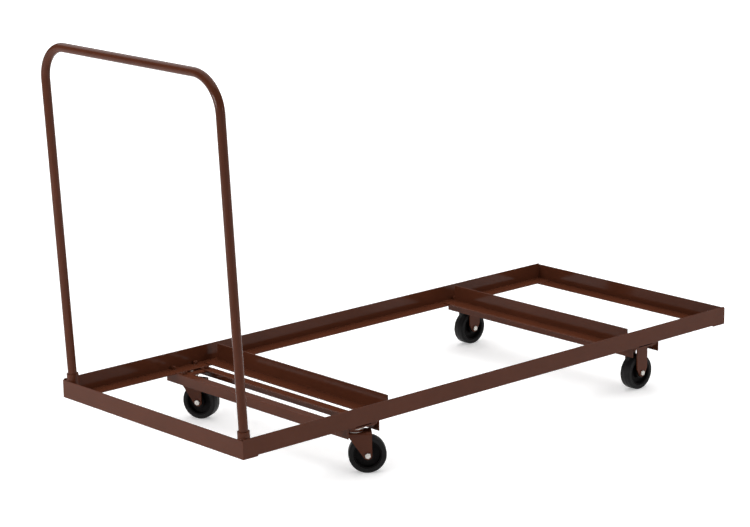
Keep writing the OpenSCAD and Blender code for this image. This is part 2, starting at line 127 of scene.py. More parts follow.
def add_node(
    tree: bpy.types.NodeTree, kind: str, settings: dict[str, object] | None = None, **inputs: object,
) -> bpy.types.Node:
    """Adds a node to a tree.

    Args:
        tree: The tree.
        kind: The node's type.
        settings: The node's own settings, by name.
        inputs: What feeds its inputs, by name with _ for a space.

    Returns:
        The node.
    """
    node = tree.nodes.new(kind)
    for name, value in (settings or {}).items():
        setattr(node, name, value)
    feed(tree, node, **inputs)
    return node


def add_math(tree: bpy.types.NodeTree, operation: str, *values: float | Socket) -> Socket:
    """Adds a sum of numbers and sockets.

    Args:
        tree: The tree.
        operation: The math node's operation.
        values: Its inputs in order.

    Returns:
        The result's socket.
    """
    node = add_node(tree, "ShaderNodeMath", {"operation": operation})
    for socket, value in zip(node.inputs, values):
        plug(tree, socket, value)
    return node.outputs["Value"]


# Finishes


class MaterialSheet:
    """A material's node tree, with short ways to add what the finishes share."""

    NOISE_SPAN = (0.3, 0.7)

    def __init__(self, name: str) -> None:
        """Starts an empty material with one shader.

        Args:
            name: The material's name.
        """
        self.material = bpy.data.materials.new(name)
        self.material.use_nodes = True
        self.tree = self.material.node_tree
        self.shader = self.tree.nodes["Principled BSDF"]
        self.place = self.tree.nodes.new("ShaderNodeTexCoord").outputs["Object"]

    def set(self, **inputs: object) -> None:
        """Feeds the shader's own inputs, by name with _ for a space."""
        feed(self.tree, self.shader, **inputs)

    def noise(self, scale: float, detail: float = 3.0) -> Socket:
        """Adds a noise over the piece.

        Args:
            scale: Cells per metre.
            detail: Octaves.

        Returns:
            The noise's value socket.
        """
        noise = add_node(self.tree, "ShaderNodeTexNoise", Scale=scale, Detail=detail, Vector=self.place)
        return noise.outputs["Fac"]

    def cells(self, scale: float) -> Socket:
        """Adds irregular cells, each of its own tone.

        Args:
            scale: Cells per metre.

        Returns:
            The tone's socket.
        """
        cells = add_node(self.tree, "ShaderNodeTexVoronoi", Scale=scale, Vector=self.place)
        tone = add_node(self.tree, "ShaderNodeSeparateColor", Color=cells.outputs["Color"])
        return tone.outputs["Red"]

    def range(
        self, value: Socket, low: float, high: float, span: tuple[float, float] = NOISE_SPAN,
    ) -> Socket:
        """Maps a span of a value, such as the useful span of a noise, to the given range.

        Args:
            value: The value.
            low: What the span's start becomes.
            high: What the span's end becomes.
            span: The span.

        Returns:
            The mapped socket.
        """
        spread = add_node(
            self.tree, "ShaderNodeMapRange", Value=value,
            From_Min=span[0], From_Max=span[1], To_Min=low, To_Max=high,
        )
        return spread.outputs["Result"]

    def colour_about(self, value: Socket, colour: Colour, tone: float) -> None:
        """Varies the surface's colour with a noise.

        Args:
            value: A noise.
            colour: The colour in the middle.
            tone: How much darker and lighter it gets, as a share.
        """
        mix = add_node(self.tree, "ShaderNodeMix", {"data_type": "RGBA"}, Factor=self.range(value, 0.0, 1.0))
        colours = [s for s in mix.inputs if s.type == "RGBA"]
        for socket, factor in zip(colours, (1 - tone, 1 + tone)):
            socket.default_value = (*(part * factor for part in colour), 1.0)
        self.set(Base_Color=next(s for s in mix.outputs if s.type == "RGBA"))

    def rough_between(self, value: Socket, low: float, high: float) -> None:
        """Varies the roughness with a noise between two values."""
        self.set(Roughness=self.range(value, low, high))

    def bump(self, value: Socket, depth: float, strength: float) -> None:
        """Raises the surface with a noise.

        Args:
            value: A noise.
            depth: Height of the relief in metres.
            strength: Share of the relief that shows.
        """
        bump = add_node(self.tree, "ShaderNodeBump", Distance=depth, Strength=strength, Height=value)
        self.set(Normal=bump.outputs["Normal"])


@dataclass(frozen=True)
class PowderCoat:
    """Semi-gloss brown powder coat with a fine orange peel."""

    colour: Colour = (0.090, 0.0262, 0.0126)
    tone: float = 0.07
    cloud_scale: float = 9.0
    cloud_detail: float = 4.0
    gloss_scale: float = 36.0
    peel_scale: float = 520.0
    peel_detail: float = 1.5
    peel_depth: float = 0.00012
    peel_strength: float = 0.22
    roughness: tuple[float, float] = (0.09, 0.14)
    film_ior: float = 1.2

    def make(self) -> Material:
        """Returns the finish as a material."""
        sheet = MaterialSheet("brown_powder_coat")
        sheet.colour_about(sheet.noise(self.cloud_scale, self.cloud_detail), self.colour, self.tone)
        sheet.rough_between(sheet.noise(self.gloss_scale), *self.roughness)
        sheet.bump(sheet.noise(self.peel_scale, self.peel_detail), self.peel_depth, self.peel_strength)
        sheet.set(IOR=self.film_ior)
        return sheet.material


@dataclass(frozen=True)
class ZincPlate:
    """Bright zinc plate with a faint spangle."""

    colour: Colour = (0.50, 0.48, 0.45)
    tone: float = 0.16
    spangle_scale: float = 420.0
    grain_scale: float = 1600.0
    grain_depth: float = 0.00004
    grain_strength: float = 0.3
    roughness: tuple[float, float] = (0.26, 0.44)

    def make(self) -> Material:
        """Returns the finish as a material."""
        sheet = MaterialSheet("bright_zinc")
        sheet.colour_about(sheet.cells(self.spangle_scale), self.colour, self.tone)
        sheet.rough_between(sheet.noise(self.spangle_scale), *self.roughness)
        sheet.bump(sheet.noise(self.grain_scale), self.grain_depth, self.grain_strength)
        sheet.set(Metallic=1.0)
        return sheet.material


@dataclass(frozen=True)
class PolishedSteel:
    """Ground and polished bearing steel under a film of grease."""

    colour: Colour = (0.66, 0.65, 0.62)
    tone: float = 0.08
    film_scale: float = 260.0
    roughness: tuple[float, float] = (0.08, 0.2)

    def make(self) -> Material:
        """Returns the finish as a material."""
        sheet = MaterialSheet("polished_steel")
        film = sheet.noise(self.film_scale)
        sheet.colour_about(film, self.colour, self.tone)
        sheet.rough_between(film, *self.roughness)
        sheet.set(Metallic=1.0)
        return sheet.material


@dataclass(frozen=True)
class Moulding:
    """Matt black moulding, for the rubber tyres and for their hard cores."""

    name: str
    colour: Colour
    tone: float
    cloud_scale: float
    gloss_scale: float
    grain_scale: float
    grain_depth: float
    grain_strength: float
    roughness: tuple[float, float]
    sheen: float
    cloud_detail: float = 5.0
    grain_detail: float = 2.0

    def make(self) -> Material:
        """Returns the finish as a material."""
        sheet = MaterialSheet(self.name)
        sheet.colour_about(sheet.noise(self.cloud_scale, self.cloud_detail), self.colour, self.tone)
        sheet.rough_between(sheet.noise(self.gloss_scale), *self.roughness)
        sheet.bump(sheet.noise(self.grain_scale, self.grain_detail), self.grain_depth, self.grain_strength)
        sheet.set(Specular_IOR_Level=self.sheen)
        return sheet.material


RUBBER = Moulding(
    "matt_rubber", colour=(0.0105, 0.0098, 0.0098), tone=0.22, cloud_scale=45.0, gloss_scale=135.0,
    grain_scale=1400.0, grain_depth=0.00008, grain_strength=0.35, roughness=(0.42, 0.56), sheen=0.14,
)
HARD_CORE = Moulding(
    "moulded_core", colour=(0.0055, 0.0045, 0.0045), tone=0.15, cloud_scale=60.0, gloss_scale=180.0,
    grain_scale=1900.0, grain_depth=0.00004, grain_strength=0.3, roughness=(0.42, 0.55), sheen=0.06,
)


def make_finishes() -> dict[Slot, Material]:
    """Returns the material of every slot."""
    return {
        Slot.PAINT: PowderCoat().make(),
        Slot.ZINC: ZincPlate().make(),
        Slot.BALLS: PolishedSteel().make(),
        Slot.CORE: HARD_CORE.make(),
        Slot.TYRE: RUBBER.make(),
    }


# Node trees that make shapes


class ShapeTree:
    """A geometry node tree with named inputs, which ends in Realize Instances and Set Material."""

    def __init__(self, name: str) -> None:
        """Starts a tree with a geometry input, a material input and its end nodes.

        Args:
            name: The tree's name.
        """
        self.tree = bpy.data.node_groups.new(name, "GeometryNodeTree")
        self.keys: dict[str, str] = {}
        self.tree.interface.new_socket("Geometry", in_out="INPUT", socket_type="NodeSocketGeometry")
        self.tree.interface.new_socket("Geometry", in_out="OUTPUT", socket_type="NodeSocketGeometry")
        self.entry = self.tree.nodes.new("NodeGroupInput")
        self.input("Finish", "NodeSocketMaterial")
        self.realize = self.add("GeometryNodeRealizeInstances")
        realized = self.realize.outputs["Geometry"]
        finish = self.add("GeometryNodeSetMaterial", Geometry=realized, Material=self.given("Finish"))
        self.add("NodeGroupOutput", Geometry=finish.outputs["Geometry"])

    def input(self, name: str, kind: str) -> None:
        """Adds a named input of the given socket type."""
        self.keys[name] = self.tree.interface.new_socket(name, in_out="INPUT", socket_type=kind).identifier

    def add(self, kind: str, settings: dict[str, object] | None = None, **inputs: object) -> bpy.types.Node:
        """Adds a node, as add_node does."""
        return add_node(self.tree, kind, settings, **inputs)

    def end(self, geometry: Socket) -> None:
        """Makes a geometry the tree's result."""
        feed(self.tree, self.realize, Geometry=geometry)

    def given(self, name: str) -> Socket:
        """Returns the socket of a named input inside the tree."""
        return self.entry.outputs[name]

    def math(self, operation: str, *values: float | Socket) -> Socket:
        """Adds a sum, as add_math does."""
        return add_math(self.tree, operation, *values)

    def sweep(self, curve: Socket, radius: Socket, sides: Socket) -> bpy.types.Node:
        """Sweeps a circle along a curve, as the tree's result.

        Args:
            curve: The curve.
            radius: The circle's radius.
            sides: How many sides the circle has.

        Returns:
            The node that sweeps it.
        """
        ring = self.add("GeometryNodeCurvePrimitiveCircle", Resolution=sides, Radius=radius)
        sweep = self.add("GeometryNodeCurveToMesh", Curve=curve, Profile_Curve=ring.outputs["Curve"])
        self.end(sweep.outputs["Mesh"])
        return sweep

    def run(self, base: bpy.types.Object, name: str, **inputs: object) -> bpy.types.Object:
        """Runs the tree on a base object and keeps the result as a plain mesh.

        Args:
            base: The object whose geometry goes in; it is removed.
            name: Name of the finished piece.
            inputs: Values of the named inputs, with _ for a space.

        Returns:
            The finished piece, at the origin.
        """
        modifier = base.modifiers.new(self.tree.name, "NODES")
        modifier.node_group = self.tree
        for key, value in inputs.items():
            modifier[self.keys[key.replace("_", " ")]] = value
        while base.modifiers[0] != modifier:
            base.modifiers.move(base.modifiers.find(modifier.name), 0)
        mesh = bpy.data.meshes.new_from_object(base.evaluated_get(bpy.context.evaluated_depsgraph_get()))
        bpy.data.objects.remove(base)
        return place_mesh(mesh, name)


def place_mesh(mesh: bpy.types.Mesh, name: str) -> bpy.types.Object:
    """Puts a mesh in the scene as an object at the origin.

    Args:
        mesh: The mesh.
        name: Name of the mesh and of the object.

    Returns:
        The object.
    """
    mesh.name = name
    piece = bpy.data.objects.new(name, mesh)
    bpy.context.scene.collection.objects.link(piece)
    return piece


def route_object(routes: Iterable[Sequence[Vector]], name: str) -> bpy.types.Object:
    """Makes a curve object with one straight-sided spline for each route.

    Args:
        routes: Lists of points in the row frame.
        name: The object's name.

    Returns:
        The curve object.
    """
    curve = bpy.data.curves.new(name, "CURVE")
    curve.dimensions = "3D"
    for route in routes:
        spline = curve.splines.new("POLY")
        spline.points.add(len(route) - 1)
        for point, spot in zip(spline.points, route):
            point.co = (*spot, 1.0)
    base = bpy.data.objects.new(name, curve)
    bpy.context.scene.collection.objects.link(base)
    return base


def finish_piece(piece: bpy.types.Object, body: str, slot: Slot, *nodes: str) -> None:
    """Rides a finished piece on its body and reports it.

    Args:
        piece: The piece.
        body: The body that it moves with.
        slot: Its material slot; not used.
        nodes: The solids that it stands for.
    """
    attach(piece, body)
    if nodes:
        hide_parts(*nodes)
    log.info("%s rides on %s, %d faces", piece.name, body, len(piece.data.polygons))


def joint_named(name: str) -> dict:
    """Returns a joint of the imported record."""
    return next(joint for joint in frame["joints"] if joint["name"] == name)


# Handle


@dataclass
class PushHandle:
    """The bent tube that stands in the frame's sockets."""

    tube_d: float = 0.0254
    wall: float = 0.0016
    bend_r: float = 0.097
    sides: int = 48
    bend_steps: int = 28
    sharp_deg: float = 40.0

    def route(self) -> list[Vector]:
        """Follows the tube's centre line with sharp corners.

        Returns:
            Its points, from the near foot to the far one.
        """
        low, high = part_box("push_handle")
        along = Vector(joint_named("handle_lift")["axis"]).normalized()
        radius = self.tube_d / 2
        bar = Vector((low.x + radius, 0.0, high.z - radius))
        square_cut = radius * abs(along.x)
        leg = (bar.z - low.z - square_cut) / along.z
        tops = [Vector((bar.x, y, bar.z)) for y in (low.y + radius, high.y - radius)]
        return [tops[0] - along * leg, tops[0], tops[1], tops[1] - along * leg]

    def tree(self) -> ShapeTree:
        """Makes the tree that rounds the corners and sweeps the tube.

        Returns:
            The tree.
        """
        shape = ShapeTree("tube_sweep")
        for name in ("Tube Radius", "Bend Radius"):
            shape.input(name, "NodeSocketFloat")
        for name in ("Sides", "Bend Steps"):
            shape.input(name, "NodeSocketInt")
        bend = shape.add(
            "GeometryNodeFilletCurve", {"mode": "POLY"}, Curve=shape.given("Geometry"),
            Radius=shape.given("Bend Radius"), Count=shape.given("Bend Steps"),
        )
        shape.sweep(bend.outputs["Curve"], shape.given("Tube Radius"), shape.given("Sides"))
        return shape

    def build(self, paint: Material) -> None:
        """Makes the tube and puts it in place of its solid.

        Args:
            paint: The powder coat.
        """
        tube = self.tree().run(
            route_object([self.route()], "handle_route"), "handle_tube", Finish=paint,
            Tube_Radius=self.tube_d / 2, Bend_Radius=self.bend_r,
            Sides=self.sides, Bend_Steps=self.bend_steps,
        )
        hollow(tube, self.wall)
        smooth(tube.data, self.sharp_deg)
        finish_piece(tube, "handle", Slot.PAINT, "push_handle")


def hollow(piece: bpy.types.Object, wall: float) -> None:
    """Gives an open outer skin an inner wall and rims.

    Args:
        piece: The piece, whose faces point outwards afterwards.
        wall: Thickness inwards.
    """
    turn_outwards(piece.data)
    skin = piece.modifiers.new("wall", "SOLIDIFY")
    skin.thickness = wall
    skin.offset = -1.0
    walled = bpy.data.meshes.new_from_object(piece.evaluated_get(bpy.context.evaluated_depsgraph_get()))
    piece.modifiers.clear()
    piece.data = walled


def turn_outwards(mesh: bpy.types.Mesh, merge: float = 1e-6) -> None:
    """Merges doubles and points every face outwards.

    Args:
        mesh: The mesh.
        merge: Distance below which points are one.
    """
    work = bmesh.new()
    work.from_mesh(mesh)
    bmesh.ops.remove_doubles(work, verts=work.verts, dist=merge)
    bmesh.ops.recalc_face_normals(work, faces=work.faces)
    work.to_mesh(mesh)
    work.free()


def smooth(mesh: bpy.types.Mesh, sharp_deg: float) -> None:
    """Shades a mesh smooth, apart from edges sharper than the given angle."""
    mesh.shade_smooth()
    mesh.set_sharp_from_angle(angle=math.radians(sharp_deg))


# Fasteners


@dataclass(frozen=True)
class Hexagon:
    """A chamfered six-sided head or nut."""

    across_flats: float
    height: float
    steps: int = 48
    face_share: float = 0.94
    chamfer_deg: float = 28.0
    sector_deg: float = 60.0

    def radius(self, angle: float) -> float:
        """Returns the hexagon's radius in a direction."""
        sector = math.radians(self.sector_deg)
        return self.across_flats / 2 / math.cos((angle % sector) - sector / 2)

    def rings(self, chamfer_both: bool) -> list[list[Vector]]:
        """Makes the rings of the outside skin.

        Args:
            chamfer_both: Whether the lower corners are chamfered too.

        Returns:
            The rings, from the lower face's circle to the upper one.
        """
        face = self.across_flats / 2 * self.face_share
        slope = math.tan(math.radians(self.chamfer_deg))
        angles = [2 * math.pi * i / self.steps for i in range(self.steps)]
        rings: list[list[Vector]] = [[], [], [], []]
        for angle in angles:
            way = Vector((math.cos(angle), math.sin(angle), 0.0))
            outer = self.radius(angle)
            drop = (outer - face) * slope
            low = drop if chamfer_both else 0.0
            levels = ((face, 0.0), (outer, low), (outer, self.height - drop), (face, self.height))
            for ring, (radius, z) in zip(rings, levels):
                ring.append(way * radius + UP * z)
        return rings


def circle(radius: float, z: float, steps: int) -> list[Vector]:
    """Returns a ring of points about Z."""
    turns = (2 * math.pi * i / steps for i in range(steps))
    return [Vector((radius * math.cos(a), radius * math.sin(a), z)) for a in turns]


def mesh_of_rings(
    rings: Sequence[Sequence[Vector]], name: str, closed: bool, sharp_deg: float = 25.0,
) -> bpy.types.Mesh:
    """Skins rings of equal length in order.

    Args:
        rings: The rings.
        name: The mesh's name.
        closed: Whether the last ring joins the first, as on a nut; otherwise both ends get a cap.
        sharp_deg: Edges sharper than this stay sharp.

    Returns:
        The mesh, with its faces outwards.
    """
    work = bmesh.new()
    made = [[work.verts.new(spot) for spot in ring] for ring in rings]
    pairs = list(zip(made, made[1:] + made[:1])) if closed else list(zip(made, made[1:]))
    for low, high in pairs:
        for i in range(len(low)):
            j = (i + 1) % len(low)
            work.faces.new((low[i], low[j], high[j], high[i]))
    if not closed:
        work.faces.new(list(reversed(made[0])))
        work.faces.new(made[-1])
    bmesh.ops.recalc_face_normals(work, faces=work.faces)
    mesh = bpy.data.meshes.new(name)
    work.to_mesh(mesh)
    work.free()
    smooth(mesh, sharp_deg)
    return mesh


@dataclass(frozen=True)
class Bolt:
    """A hexagon-head bolt along +Z: its head lies below the origin and its shank above."""

    shank_d: float
    head: Hexagon
    length: float
    thread_len: float
    pitch: float = 0.00125
    depth_share: float = 0.6
    tip: float = 0.0008

    def make(self, name: str) -> bpy.types.Mesh:
        """Makes the bolt.

        Args:
            name: The mesh's name.

        Returns:
            The mesh.
        """
        flipped = [[Vector((p.x, p.y, -p.z)) for p in ring] for ring in reversed(self.head.rings(False))]
        steps = self.head.steps
        radius = self.shank_d / 2
        root = radius - self.depth_share * self.pitch
        z, neck = self.length - self.thread_len, self.length - self.tip
        rings = flipped + [circle(radius, 0.0, steps), circle(radius, z, steps)]
        while z + self.pitch < neck:
            rings += [circle(root, z + self.pitch / 2, steps), circle(radius, z + self.pitch, steps)]
            z += self.pitch
        rings += [circle(radius, neck, steps), circle(radius - self.tip, self.length, steps)]
        return mesh_of_rings(rings, name, closed=False)


@dataclass(frozen=True)
class Nut:
    """A chamfered hexagon nut that stands on the origin, along +Z."""

    bore_d: float
    hexagon: Hexagon
    mouth_share: float = 1.08

    def make(self, name: str) -> bpy.types.Mesh:
        """Makes the nut.

        Args:
            name: The mesh's name.

        Returns:
            The mesh.
        """
        steps, radius, height = self.hexagon.steps, self.bore_d / 2, self.hexagon.height
        mouth = radius * self.mouth_share
        sink = mouth - radius
        rings = self.hexagon.rings(True) + [
            circle(mouth, height, steps), circle(radius, height - sink, steps),
            circle(radius, sink, steps), circle(mouth, 0.0, steps),
        ]
        return mesh_of_rings(rings, name, closed=True)


@dataclass(frozen=True)
class FastenerSize:
    """The sizes of a bolt and its nut, as shares of the thread's diameter."""

    thread_d: float
    flats: float
    head: float
    nut: float
    tail: float

    @property
    def across_flats(self) -> float:
        """Distance across the flats of the head and of the nut."""
        return self.flats * self.thread_d

    def bolt(self, grip: float) -> Bolt:
        """Makes a bolt of this size.

        Args:
            grip: Height of its nut above its head.

        Returns:
            The bolt.
        """
        nut_h, tail = self.nut * self.thread_d, self.tail * self.thread_d
        head = Hexagon(self.across_flats, self.head * self.thread_d)
        return Bolt(self.thread_d, head, grip + nut_h + tail, nut_h + tail)

    def hex_nut(self) -> Nut:
        """Returns the bolt's nut."""
        return Nut(self.thread_d, Hexagon(self.across_flats, self.nut * self.thread_d))


@dataclass(frozen=True)
class SplitWasher:
    """A spring lock washer with its cut, standing on the origin."""

    outer_d: float
    bore_d: float
    thick: float
    cut_deg: float = 8.0
    steps: int = 44
    sharp_deg: float = 30.0

    def make(self, name: str) -> bpy.types.Mesh:
        """Makes the washer.

        Args:
            name: The mesh's name.

        Returns:
            The mesh.
        """
        inner, outer = self.bore_d / 2, self.outer_d / 2
        corners = ((inner, 0.0), (outer, 0.0), (outer, self.thick), (inner, self.thick))
        sections = []
        for i in range(self.steps + 1):
            turn = math.radians(self.cut_deg / 2 + (360 - self.cut_deg) * i / self.steps)
            way = Vector((math.cos(turn), math.sin(turn), 0.0))
            sections.append([way * radius + UP * z for radius, z in corners])
        return mesh_of_rings(sections, name, closed=False, sharp_deg=self.sharp_deg)


class SeatTree:
    """Seats copies of one fastener on points, each along its point's own direction."""

    def __init__(self) -> None:
        """Builds the tree."""
        shape = ShapeTree("seat_fasteners")
        shape.input("Fastener", "NodeSocketObject")
        shape.input("Seed", "NodeSocketInt")
        info = shape.add("GeometryNodeObjectInfo", Object=shape.given("Fastener"))
        up = shape.add("GeometryNodeInputNamedAttribute", {"data_type": "FLOAT_VECTOR"}, Name="along")
        align = shape.add("FunctionNodeAlignRotationToVector", {"axis": "Z"}, Vector=up.outputs["Attribute"])
        spin = shape.add("FunctionNodeRandomValue", {"data_type": "FLOAT"}, Seed=shape.given("Seed"))
        numbers = [s for s in spin.inputs if s.type == "VALUE"]
        numbers[0].default_value, numbers[1].default_value = 0.0, 2 * math.pi
        angle = next(s for s in spin.outputs if s.type == "VALUE")
        about = shape.add("FunctionNodeAxisAngleToRotation", Axis=UP, Angle=angle)
        turn = shape.add(
            "FunctionNodeRotateRotation", {"rotation_space": "LOCAL"},
            Rotation=align.outputs["Rotation"], Rotate_By=about.outputs["Rotation"],
        )
        seat = shape.add(
            "GeometryNodeInstanceOnPoints", Points=shape.given("Geometry"),
            Instance=info.outputs["Geometry"], Rotation=turn.outputs["Rotation"],
        )
        shape.end(seat.outputs["Instances"])
        self.shape = shape

    def seat(
        self, master: bpy.types.Mesh, seats: Sequence[tuple[Vector, Vector]], name: str,
        finish: Material, seed: int,
    ) -> bpy.types.Object:
        """Seats copies of a fastener.

        Args:
            master: The fastener, along +Z.
            seats: Pairs of a place and a direction.
            name: Name of the finished piece.
            finish: Its material.
            seed: Seed of the copies' turns.

        Returns:
            The finished piece.
        """
        points = bpy.data.meshes.new(name + "_seats")
        points.from_pydata([spot for spot, _ in seats], [], [])
        along = points.attributes.new("along", "FLOAT_VECTOR", "POINT")
        for value, (_, way) in zip(along.data, seats):
            value.vector = way
        pattern = place_mesh(master, name + "_pattern")
        base = place_mesh(points, name + "_base")
        piece = self.shape.run(base, name, Finish=finish, Fastener=pattern, Seed=seed)
        bpy.data.objects.remove(pattern)
        return piece


@dataclass
class PlateFasteners:
    """Painted bolts, lock washers and nuts that hold the caster plates."""

    size: FastenerSize = FastenerSize(0.008, flats=1.625, head=0.66, nut=0.8, tail=0.25)
    washer_t: float = 0.002
    washer_bore_d: float = 0.0086
    seed: int = 3
    edge_x: float = 0.011
    edge_y: float = 0.012
    rail_t: float = 0.0032
    carrier_t: float = 0.003
    plate_t: float = 0.004

    def sites(self) -> list[tuple[Vector, bool]]:
        """Finds the bolts' places.

        Returns:
            Each bolt's place on its plate's underside, and whether it goes through a side rail.
        """
        found = []
        for side in Side:
            for kind in CasterKind:
                low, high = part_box(f"{side.value}_{kind.value}_plate")
                for x in (low.x + self.edge_x, high.x - self.edge_x):
                    for y in (low.y + self.edge_y, high.y - self.edge_y):
                        outer = (y - (low.y + high.y) / 2) * side.inward < 0
                        found.append((Vector((x, y, low.z)), outer))
        return found

    def grip(self, outer: bool) -> float:
        """Returns the thickness that a bolt clamps, with or without a side rail."""
        return self.plate_t + self.carrier_t + (self.rail_t if outer else 0.0)

    def build(self, seats: SeatTree, paint: Material) -> None:
        """Makes the fasteners and puts them in place of their solids.

        Args:
            seats: The tree that seats them.
            paint: The powder coat that covers them.
        """
        sites = self.sites()
        parts = []
        for outer, name in ((True, "rail_bolts"), (False, "carrier_bolts")):
            spots = [(spot, UP) for spot, through_rail in sites if through_rail is outer]
            bolt = self.size.bolt(self.grip(outer) + self.washer_t).make(name)
            parts.append(seats.seat(bolt, spots, name, paint, self.seed))
        finish_piece(parts[0], "frame", Slot.PAINT, "plate_bolts")
        finish_piece(parts[1], "frame", Slot.PAINT)
        tops = [(spot + UP * self.grip(outer), UP) for spot, outer in sites]
        washer = SplitWasher(self.size.across_flats, self.washer_bore_d, self.washer_t).make("lock_washer")
        locks = seats.seat(washer, tops, "lock_washers", paint, self.seed + 1)
        finish_piece(locks, "frame", Slot.PAINT, "plate_lock_washers")
        tops = [(spot + UP * self.washer_t, way) for spot, way in tops]
        nuts = seats.seat(self.size.hex_nut().make("plate_nut"), tops, "hex_nuts", paint, self.seed + 2)
        finish_piece(nuts, "frame", Slot.PAINT, "plate_nuts")


# Casters


@dataclass
class Caster:
    """One caster's wheel and axle, built about its rolling joint."""

    side: Side
    kind: CasterKind
    wheel_r: float = 0.0522
    wheel_w: float = 0.036
    tyre_t: float = 0.013
    shoulder_r: float = 0.005
    rim_t: float = 0.004
    rim_recess: float = 0.0015
    web_t: float = 0.009
    boss_r: float = 0.017
    boss_proud: float = 0.001
    bore_r: float = 0.0081
    groove_share: float = 0.3
    groove_depth: float = 0.0005
    seam_w: float = 0.0012
    seam_crest: float = 0.0004
    seam_h: float = 0.00025
    fillet: float = 0.0022
    edge_r: float = 0.0007
    axle: FastenerSize = FastenerSize(0.0095, flats=1.5, head=0.42, nut=0.9, tail=0.25)
    fork_w: float = 0.050
    segments: int = 112
    arc_steps: int = 6
    sharp_deg: float = 38.0
    seed: int = 11

    @property
    def name(self) -> str:
        """The caster's name, as its solids have it."""
        return f"{self.side.value}_{self.kind.value}"

    @property
    def joint(self) -> dict:
        """The joint that the wheel rolls on."""
        return joint_named(self.name + "_roll")

    def on_axle(self) -> Matrix:
        """Places the wheel's own frame, with Z along the axle, in the row frame.

        Returns:
            The matrix.
        """
        along = Vector(self.joint["axis"]).normalized()
        turn = Matrix((UP.cross(along), UP, along)).transposed().to_4x4()
        return Matrix.Translation(self.joint["pos_m"]) @ turn

    def arc(self, centre: tuple[float, float], radius: float, start: float, end: float) -> Profile:
        """Draws an arc in a profile.

        Args:
            centre: Radius and width of its centre.
            radius: Its radius.
            start: Its first angle in degrees, from outwards to +width.
            end: Its last angle in degrees.

        Returns:
            Its points.
        """
        steps = self.arc_steps
        turns = [math.radians(start + (end - start) * i / steps) for i in range(steps + 1)]
        return [(centre[0] + radius * math.cos(t), centre[1] + radius * math.sin(t)) for t in turns]

    def tyre_half(self) -> Profile:
        """Draws half of the tyre's profile.

        Returns:
            Its points, from the rim to the middle of the tread.
        """
        half, rim, tread = self.wheel_w / 2, self.wheel_r - self.tyre_t, self.wheel_r - self.seam_h
        groove, dip = rim + self.groove_share * self.tyre_t, self.groove_depth
        side = [(rim, half - dip), (rim + dip, half), (groove - 2 * dip, half), (groove - dip, half - dip),
                (groove + dip, half - dip), (groove + 2 * dip, half)]
        corner = self.arc((tread - self.shoulder_r, half - self.shoulder_r), self.shoulder_r, 90, 0)
        seam = [(tread, self.seam_w), (self.wheel_r, self.seam_crest)]
        return side + corner + seam

    def core_half(self) -> Profile:
        """Draws half of the core's profile.

        Returns:
            Its points, from the bore to the outside of the rim.
        """
        boss, web = self.wheel_w / 2 + self.boss_proud, self.web_t / 2
        rim_out = self.wheel_r - self.tyre_t
        rim_in, rim = rim_out - self.rim_t, self.wheel_w / 2 - self.rim_recess
        edge = self.edge_r
        boss_top = [(self.bore_r, boss - edge), (self.bore_r + edge, boss)]
        boss_side = self.arc((self.boss_r - edge, boss - edge), edge, 90, 0)
        inner = self.arc((self.boss_r + self.fillet, web + self.fillet), self.fillet, 180, 270)
        outer = self.arc((rim_in - self.fillet, web + self.fillet), self.fillet, 270, 360)
        rim_top = self.arc((rim_in + edge, rim - edge), edge, 180, 90)
        rim_side = [(rim_out - edge / 2, rim), (rim_out, rim - edge / 2)]
        return boss_top + boss_side + inner + outer + rim_top + rim_side

    def lathe(self, half: Profile, name: str, finish: Material) -> bpy.types.Object:
        """Turns a half profile and its mirror image about the axle.

        Args:
            half: Points of radius and width, on the +width side.
            name: Name of the piece.
            finish: Its material.

        Returns:
            The piece in the row frame.
        """
        profile = half + [(r, -w) for r, w in reversed(half)]
        rings = [circle(r, w, self.segments) for r, w in profile]
        mesh = mesh_of_rings(rings, name, closed=True, sharp_deg=self.sharp_deg)
        mesh.transform(self.on_axle())
        mesh.materials.append(finish)
        return place_mesh(mesh, name)

    def build(self, seats: SeatTree, finishes: dict[Slot, Material]) -> None:
        """Makes the wheel, the axle bolt and its nut.

        Args:
            seats: The tree that seats the fasteners.
            finishes: The material of every slot.
        """
        for part, half, slot in (
            ("tyre", self.tyre_half(), Slot.TYRE),
            ("core", self.core_half(), Slot.CORE),
        ):
            piece = self.lathe(half, f"{self.name}_moulded_{part}", finishes[slot])
            finish_piece(piece, self.joint["child"], slot, f"{self.name}_{part}")
        self.build_axle(seats, self.joint["parent"], finishes[Slot.ZINC])

    def build_axle(self, seats: SeatTree, body: str, zinc: Material) -> None:
        """Makes the axle bolt and its nut.

        Args:
            seats: The tree that seats them.
            body: The body that carries them.
            zinc: The plating.
        """
        along = Vector(self.joint["axis"]).normalized()
        centre = Vector(self.joint["pos_m"])
        half = along * self.fork_w / 2
        for part, fastener, spot, seed in (
            ("axle_bolt", self.axle.bolt(self.fork_w), centre - half, self.seed),
            ("axle_nut", self.axle.hex_nut(), centre + half, self.seed + 1),
        ):
            name = f"{self.name}_hex_{part}"
            piece = seats.seat(fastener.make(name), [(spot, along)], name, zinc, seed)
            finish_piece(piece, body, Slot.ZINC, f"{self.name}_{part}")


